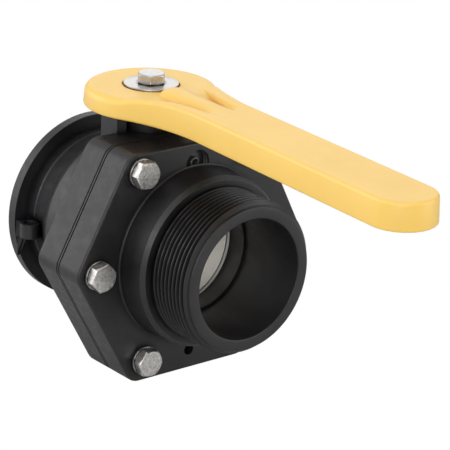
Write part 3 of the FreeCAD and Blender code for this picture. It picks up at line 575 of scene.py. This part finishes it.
def collar_skin():
    """Collar with a small fillet at its foot and a chamfer in front, as a profile (x, r) turned."""
    a = np.linspace(0, np.pi / 2, 6)
    foot = np.stack([PLATE_FRONT + COLLAR_FOOT * (1 - np.sin(a)),
                     COLLAR_RADIUS - COLLAR_FOOT * np.cos(a)], -1)[::-1]
    profile = np.concatenate([
        foot, [(80.6, 33.84), (82.32, 32.44), (82.32, 30.3), (81.5, 30.3), (81.5, 31.5), (69.5, 33.0),
               (PLATE_FRONT - 0.3, 33.0), (PLATE_FRONT - 0.3, COLLAR_RADIUS)]])
    points, quads = lathe(profile, 240)
    return mesh_object("collar_skin", points, quads, 35)


dress(threaded_core(), "black_plastic", STATIC, "threaded_end")
dress(pipe_thread(), "black_plastic", STATIC, finish=CREST)
dress(spigot_skin(), "black_plastic", STATIC)
dress(flange_half(), "black_plastic", STATIC, "flange_body")
dress(joint_band("joint_lip", SPLIT - LIP_HALF, SPLIT + LIP_HALF, LIP_INSET), "black_plastic", STATIC)
# Near-black bands in the groove on each side of the lip: painted shade of the groove's bottom.
dress(joint_band("joint_slot_rear", SPLIT - SLOT_EDGE, SPLIT - LIP_HALF, SLOT_INSET),
      "black_plastic", STATIC, finish=SLOT)
dress(joint_band("joint_slot_front", SPLIT + LIP_HALF, SPLIT + SLOT_EDGE, SLOT_INSET),
      "black_plastic", STATIC, finish=SLOT)
# The gauge port's thread and boss in the lightened moulding: painted light.
dress(gauge_thread(), "black_plastic", STATIC, finish=PORT_PAINTED_LIGHT)
dress(gauge_boss(), "black_plastic", STATIC, finish=PORT_PAINTED_LIGHT)
dress(collar_skin(), "black_plastic", STATIC)
dress(eyelet_foot(), "black_plastic", STATIC)


# Handle

# Scoop's outer lip: distance along the lever, from its middle, and width of its wall.
LIP_ALONG = [10.0, 16.0, 19.3, 23.5, 28.2, 32.5, 39.1, 47.4, 51.5, 56.0]
LIP_ACROSS = [27.0, 22.4, 19.4, 15.0, 11.6, 10.1, 8.6, 8.0, 6.0, 3.0]
LIP_WALL = [10.0, 9.0, 7.0, 4.6, 3.0, 2.6, 2.6, 2.6, 2.6, 2.6]
RIDGE_NOSE = 11.4
RIDGE_FULL = 16.5
RIDGE_HALF = 6.4
SCOOP_DIP = 1.1
HEAD_ROUND = 3.0
LEVER_ROUND = 1.3
LOWER_ROUND = 0.9
SLOT_INNER = 14.4
SLOT_OUTER = 20.66
SLOT_HIGH = 54.9
SQUARE_HALF = 5.55
SQUARE_HIGH = 56.45
DISH_RADIUS = 11.2


def lever_top(x, y):
    """Height of the handle's top: level head, a round-backed ridge, two scoops and their outer lips."""
    side = abs(y)
    rim = 1 - np.exp(-np.clip(x - 12.0, 0, None) / 8.5)
    inner = np.interp(x, LIP_ALONG, LIP_ACROSS)
    wall = np.interp(x, LIP_ALONG, LIP_WALL)
    climb = np.clip(1 + (side - inner) / wall, 0, 1)
    lip = rim * np.sqrt(1 - (1 - climb) ** 2)
    before = np.clip(RIDGE_FULL - x, 0, None) / (RIDGE_FULL - RIDGE_NOSE)
    reach = (side / RIDGE_HALF) ** 2 + before ** 2
    ridge = np.sqrt(np.clip(1 - reach, 0, 1))
    floor = step(41.0, 55.0, x)
    dip = SCOOP_DIP * step(18.0, 26.0, x) * (1 - step(41.0, 52.0, x)) * (1 - lip) * (1 - ridge)
    level = 1 - (1 - lip) * (1 - ridge) * (1 - floor)
    return HEAD_TOP + (LEVER_TOP - HEAD_TOP) * level - dip


def handle_outline(count=(70, 46, 90, 26)):
    """Half outline with its inward directions and the middle-line point that each one faces."""
    yc = LEVER_HALF + FLANK_RADIUS
    xc = np.sqrt((HEAD_RADIUS + FLANK_RADIUS) ** 2 - yc ** 2)
    meet = np.arctan2(yc, xc)
    a = np.linspace(np.pi, meet, count[0], endpoint=False)
    head = np.stack([HEAD_RADIUS * np.cos(a), HEAD_RADIUS * np.sin(a)], -1)
    b = np.linspace(meet + np.pi, 1.5 * np.pi, count[1], endpoint=False)
    flank = np.stack([xc + FLANK_RADIUS * np.cos(b), yc + FLANK_RADIUS * np.sin(b)], -1)
    s = np.linspace(xc, LEVER_REACH, count[2], endpoint=False)
    straight = np.stack([s, 0 * s + LEVER_HALF], -1)
    c = np.linspace(np.pi / 2, 0, count[3])
    tip = np.stack([LEVER_REACH + LEVER_HALF * np.cos(c), LEVER_HALF * np.sin(c)], -1)
    outward = np.concatenate([
        np.stack([np.cos(a), np.sin(a)], -1), -np.stack([np.cos(b), np.sin(b)], -1),
        np.stack([0 * s, 0 * s + 1], -1), np.stack([np.cos(c), np.sin(c)], -1)])
    t = np.linspace(0, 1, count[1], endpoint=False)
    spine = np.concatenate([0 * a, xc * t, s, 0 * c + LEVER_REACH])
    edge = np.concatenate([head, flank, straight, tip])
    mirrored = slice(-2, 0, -1)
    edge = np.concatenate([edge, edge[mirrored] * [1, -1]])
    outward = np.concatenate([outward, outward[mirrored] * [1, -1]])
    spine = np.concatenate([spine, spine[mirrored]])
    return edge, outward, np.stack([spine, 0 * spine], -1)


def handle_surface():
    """Section carried round the outline: underside, lower edge, side, upper edge and top."""
    edge, outward, spine = handle_outline()
    upper = HEAD_ROUND - (HEAD_ROUND - LEVER_ROUND) * step(6, 30, edge[:, :1])
    rows = []
    foot = edge - outward * LOWER_ROUND
    for k in np.linspace(0, 1, 6)[:-1]:
        rows.append(np.concatenate([spine + (foot - spine) * k, 0 * upper + HANDLE_LOW], -1))
    for q in np.linspace(0, np.pi / 2, 5):
        rows.append(np.concatenate([edge - outward * LOWER_ROUND * (1 - np.sin(q)),
                                    0 * upper + HANDLE_LOW + LOWER_ROUND * (1 - np.cos(q))], -1))
    lean = DRAFT * (LEVER_TOP - HANDLE_LOW)
    for q in np.linspace(0, np.pi / 2, 9):
        place = edge - outward * (lean + upper * (1 - np.cos(q)))
        top = lever_top(place[:, :1], place[:, 1:])
        rows.append(np.concatenate([place, top - upper * (1 - np.sin(q))], -1))
    crown = edge - outward * (lean + upper)
    for k in np.linspace(0, 1, 84)[1:]:
        place = crown + (spine - crown) * k
        rows.append(np.concatenate([place, lever_top(place[:, :1], place[:, 1:])], -1))
    rows = np.stack(rows)
    return rows.reshape(-1, 3), grid_quads(rows.shape[0], rows.shape[1])


def sector(r0, r1, z0, z1, first, last, count=48):
    """Closed block between two radii, two heights and two angles."""
    a = np.linspace(first, last, count)
    ring = np.array([(r0, z0), (r1, z0), (r1, z1), (r0, z1)])
    points = np.stack([ring[:, :1] * np.cos(a), ring[:, :1] * np.sin(a), ring[:, 1:] + 0 * a], -1)
    points = points.transpose(1, 0, 2).reshape(-1, 3)
    quads = grid_quads(count, 4).tolist()
    ends = [[3, 2, 1, 0], [4 * count - 4, 4 * count - 3, 4 * count - 2, 4 * count - 1]]
    return points, quads + ends


def cut_away(piece, cutters):
    """Subtract closed cutters from a piece and keep the result as its mesh."""
    for cutter in cutters:
        item = piece.modifiers.new("cut", "BOOLEAN")
        item.operation = "DIFFERENCE"
        item.solver = "EXACT"
        item.object = cutter
    bpy.context.view_layer.update()
    result = bpy.data.meshes.new_from_object(piece.evaluated_get(bpy.context.evaluated_depsgraph_get()))
    piece.modifiers.clear()
    piece.data = result
    for cutter in cutters:
        bpy.data.objects.remove(cutter)


def handle_piece():
    """The lever with the stop slot, the stem's square and the washer's dish cut out of it."""
    points, quads = handle_surface()
    piece = mesh_object("handle_shell", on_lever(points), quads, 35)
    post_reach = np.arctan2(5.1, 15.0) + np.radians(1.0)
    first = -np.pi / 2 - LEVER_ANGLE + post_reach
    last = -np.pi - LEVER_ANGLE - post_reach
    slot_points, slot_faces = sector(SLOT_INNER, SLOT_OUTER, HANDLE_LOW - 1, SLOT_HIGH, last, first)
    square = np.array([(sx * SQUARE_HALF, sy * SQUARE_HALF, z) for z in (HANDLE_LOW - 1, SQUARE_HIGH)
                       for sx, sy in ((-1, -1), (1, -1), (1, 1), (-1, 1))])
    box_faces = [[3, 2, 1, 0], [4, 5, 6, 7], [0, 1, 5, 4], [1, 2, 6, 5], [2, 3, 7, 6], [3, 0, 4, 7]]
    dish, dish_faces = lathe([(WASHER_SEAT, 0.0), (WASHER_SEAT, DISH_RADIUS),
                              (LEVER_TOP + 2, DISH_RADIUS), (LEVER_TOP + 2, 0.0)])
    cutters = []
    for name, where, faces in (("cut_slot", slot_points, slot_faces), ("cut_square", square, box_faces),
                               ("cut_dish", along(dish, "z", (0, 0, 0)), dish_faces)):
        mesh = bpy.data.meshes.new(name)
        mesh.from_pydata((on_lever(where) * MM).tolist(), [], [list(face) for face in faces])
        tidy(mesh)
        cutter = bpy.data.objects.new(name, mesh)
        bpy.context.scene.collection.objects.link(cutter)
        cutters.append(cutter)
    cut_away(piece, cutters)
    shade(piece, 35)
    return piece


dress(handle_piece(), "yellow_plastic", TURNING, "handle")


# Screws, washers and nuts

HEX_FLATS = 10.0
HEX_CORNER = 0.35
HEAD_HIGH = 4.0
NUT_HIGH = 5.0
NUT_SINK = 0.4
CONE_START = 4.82
CONE_SLOPE = 1.73
CONE_STEPS = [0.0, 0.12, 0.25, 0.4, 0.6, 0.9]
SHANK = 3.0
SCREW_PITCH = 1.0
SCREW_THREAD = 11.0
WASHER_HOLE = 3.3
BODY_WASHER = 5.6
BODY_WASHER_THICK = 1.2
HANDLE_WASHER = 10.6


def hexagon():
    """Outline of a hexagon with slightly rounded corners, first corner on the first axis."""
    inset = (HEX_FLATS / 2 - HEX_CORNER) / np.cos(np.pi / 6)
    middle = np.radians(60.0 * np.arange(6))[:, None]
    a = middle + np.radians([-30.0, -15.0, 0.0, 15.0, 30.0])[None, :]
    y = inset * np.cos(middle) + HEX_CORNER * np.cos(a)
    z = inset * np.sin(middle) + HEX_CORNER * np.sin(a)
    ring = np.stack([y.ravel(), z.ravel()], -1)
    points = []
    for k, (here, after) in enumerate(zip(ring, np.roll(ring, -1, 0))):
        flat = k % a.shape[1] == a.shape[1] - 1
        points += [here + (after - here) * s for s in (0.0, 0.25, 0.5, 0.75)] if flat else [here]
    return np.array(points)


def hex_block(high, hole=0.0):
    """Hexagonal block: outline radius cut by a 30 degree cone at both ends, with an optional hole."""
    outline = hexagon()
    radius = np.hypot(*outline.T)
    unit = outline / radius[:, None]
    rows = []
    heights = [(t, CONE_START + t * CONE_SLOPE) for t in CONE_STEPS]
    heights += [(high - t, CONE_START + t * CONE_SLOPE) for t in reversed(CONE_STEPS)]
    for h, limit in heights:
        level = np.full((len(unit), 1), h)
        rows.append(np.concatenate([level, unit * np.minimum(radius, limit)[:, None]], -1))
    first, last = rows[0].copy(), rows[-1].copy()
    first[:, 1:] = unit * hole
    last[:, 1:] = unit * hole
    rows = np.stack([first] + rows + [last])
    points = rows.reshape(-1, 3)
    return points, grid_quads(rows.shape[0], rows.shape[1], wrap_rows=hole > 0)


def shank(length, thread_from):
    """Bolt shank: its radius less a rise times a wave of height / pitch where it is threaded."""
    h = np.linspace(-thread_from, -length + 0.8, int((length - thread_from) * 12))
    r = SHANK - 0.55 * (0.5 + 0.5 * np.cos(2 * np.pi * h / SCREW_PITCH)) ** 1.5
    plain = [(0.0, 0.0), (0.0, SHANK), (-thread_from + 0.01, SHANK)]
    tip = [(-length, 2.2), (-length, 0.0)]
    return lathe(plain + list(zip(h, r)) + tip, 40, closed=False)


# Across, up and clocking in degrees of each bolt.
BOLTS = [(-44.8, 0.0, 13.0), (-21.93, -39.28, 52.0), (21.93, -39.28, 41.0),
         (44.8, 0.0, 15.0), (25.88, 36.55, 52.0), (-25.88, 36.55, 58.0)]


def bolt(name, axis, place, clocking, length):
    """Hexagon-headed bolt with the head's foot at the place."""
    points, quads = together(hex_block(HEAD_HIGH), shank(length, length - SCREW_THREAD))
    return mesh_object(name, along(points, axis, place, np.radians(clocking)), quads, 28)


def washer(name, axis, place, outer, thick):
    """Flat washer with rounded edges."""
    points, quads = lathe(rounded(0.0, WASHER_HOLE, thick, outer, 0.14, 4), 96)
    return mesh_object(name, along(points, axis, place), quads, 30)


for number, (y, z, clocking) in enumerate(BOLTS, start=1):
    screw_place = (PLATE_FRONT + BODY_WASHER_THICK, y, z)
    dress(bolt("body_screw_%d" % number, "x", screw_place, clocking, 30.0),
          "stainless", STATIC, "body_bolt_%d" % number)
    dress(washer("body_flat_washer_%d" % number, "x", (PLATE_FRONT, y, z), BODY_WASHER, BODY_WASHER_THICK),
          "stainless", STATIC, "body_washer_%d" % number)
    points, quads = hex_block(NUT_HIGH, 3.02)
    points = along(points, "x", (PLATE_BACK - NUT_SINK, y, z))
    nut = mesh_object("body_hex_nut_%d" % number, points, quads, 28)
    dress(nut, "stainless", STATIC, "body_nut_%d" % number)

dress(bolt("handle_screw", "z", (STEM_X, 0, WASHER_TOP), 20.3, 16.0), "stainless", TURNING, "handle_bolt",
      finish=PALE_STEEL)
dress(washer("handle_flat_washer", "z", (STEM_X, 0, WASHER_SEAT), HANDLE_WASHER, WASHER_TOP - WASHER_SEAT),
      "stainless", TURNING, "handle_washer", finish=PALE_STEEL)


# Camera, light and floor

def camera_at(turn, rise, roll, distance, aside, above, middle, lens):
    """Camera on a circle round a middle point, rolled about its own axis and shifted in its own plane."""
    az, el, ro = np.radians([turn, rise, roll])
    right = np.array([np.cos(az), np.sin(az), 0])
    back = np.array([np.sin(az) * np.cos(el), -np.cos(az) * np.cos(el), np.sin(el)])
    up = np.cross(back, right)
    across = np.cos(ro) * right + np.sin(ro) * up
    upward = -np.sin(ro) * right + np.cos(ro) * up
    eye = (np.array(middle) + back * distance + across * aside + upward * above) * MM
    data = bpy.data.cameras.new("camera")
    data.lens = lens
    data.sensor_width = 36.0
    data.clip_start = 0.01
    data.clip_end = 20.0
    item = bpy.data.objects.new("camera", data)
    item.matrix_world = Matrix.Translation(eye) @ Matrix((across, upward, back)).transposed().to_4x4()
    bpy.context.scene.collection.objects.link(item)
    bpy.context.scene.camera = item


camera_at(turn=50.34, rise=19.72, roll=2.58, distance=878.73, aside=30.51, above=2.02,
          middle=(40, 0, 0), lens=180.0)


def lamp(name, place, aim, wide, high, watts):
    """White area lamp at a place, in metres, aimed at a point."""
    data = bpy.data.lights.new(name, "AREA")
    data.shape = "RECTANGLE"
    data.size = wide
    data.size_y = high
    data.energy = watts
    item = bpy.data.objects.new(name, data)
    item.location = place
    item.rotation_euler = (Vector(aim) - Vector(place)).to_track_quat("-Z", "Y").to_euler()
    bpy.context.scene.collection.objects.link(item)


lamp("key", (-0.95, -0.85, 0.25), (0.05, 0, 0), 1.5, 1.2, 10.0)
lamp("top", (0.15, -0.35, 1.2), (0.08, 0, 0), 1.0, 1.0, 2.0)
lamp("right", (0.95, 0.75, 0.10), (0.08, 0, 0), 0.6, 0.6, 4.0)
lamp("front", (1.0, -1.0, 0.45), (0.08, 0, 0), 0.6, 0.6, 7.5)
lamp("behind", (-1.4, 1.25, 0.72), (0.05, 0, 0.05), 1.8, 0.9, 5.0)

# Dome: grey near and under the horizon, white overhead, plain white where the camera sees it.
world = bpy.data.worlds.new("studio")
world.use_nodes = True
dome = world.node_tree
way = dome.nodes.new("ShaderNodeTexCoord")
parts = dome.nodes.new("ShaderNodeSeparateXYZ")
rise = node(dome, "ShaderNodeMapRange", {"From Min": -0.15, "From Max": 0.75, "To Min": 0.16, "To Max": 0.86})
dome.links.new(way.outputs["Generated"], parts.inputs[0])
dome.links.new(parts.outputs["Z"], rise.inputs["Value"])
looked_at = dome.nodes.new("ShaderNodeLightPath")
plain = node(dome, "ShaderNodeMix", {"B": 1.0}, data_type="FLOAT")
dome.links.new(looked_at.outputs["Is Camera Ray"], plain.inputs["Factor"])
dome.links.new(rise.outputs["Result"], plain.inputs["A"])
dome.links.new(plain.outputs["Result"], dome.nodes["Background"].inputs["Strength"])
dome.nodes["Background"].inputs["Color"].default_value = (1, 1, 1, 1)
bpy.context.scene.world = world
bpy.context.scene.view_settings.view_transform = "Standard"

floor_mesh = bpy.data.meshes.new("floor")
floor_mesh.from_pydata([(-6, -6, -0.06), (6, -6, -0.06), (6, 6, -0.06), (-6, 6, -0.06)], [], [(0, 1, 2, 3)])
floor = bpy.data.objects.new("floor", floor_mesh)
bpy.context.scene.collection.objects.link(floor)
pale, tree, shader = material("pale_floor")
shader.inputs["Base Color"].default_value = (0.60, 0.60, 0.60, 1)
shader.inputs["Roughness"].default_value = 0.9
seen = tree.nodes.new("ShaderNodeLightPath")
glow = node(tree, "ShaderNodeEmission", {"Color": (1, 1, 1, 1), "Strength": 1.0})
blend = tree.nodes.new("ShaderNodeMixShader")
tree.links.new(seen.outputs["Is Camera Ray"], blend.inputs["Fac"])
tree.links.new(shader.outputs["BSDF"], blend.inputs[1])
tree.links.new(glow.outputs["Emission"], blend.inputs[2])
tree.links.new(blend.outputs["Shader"], tree.nodes["Material Output"].inputs["Surface"])
floor_mesh.materials.append(pale)
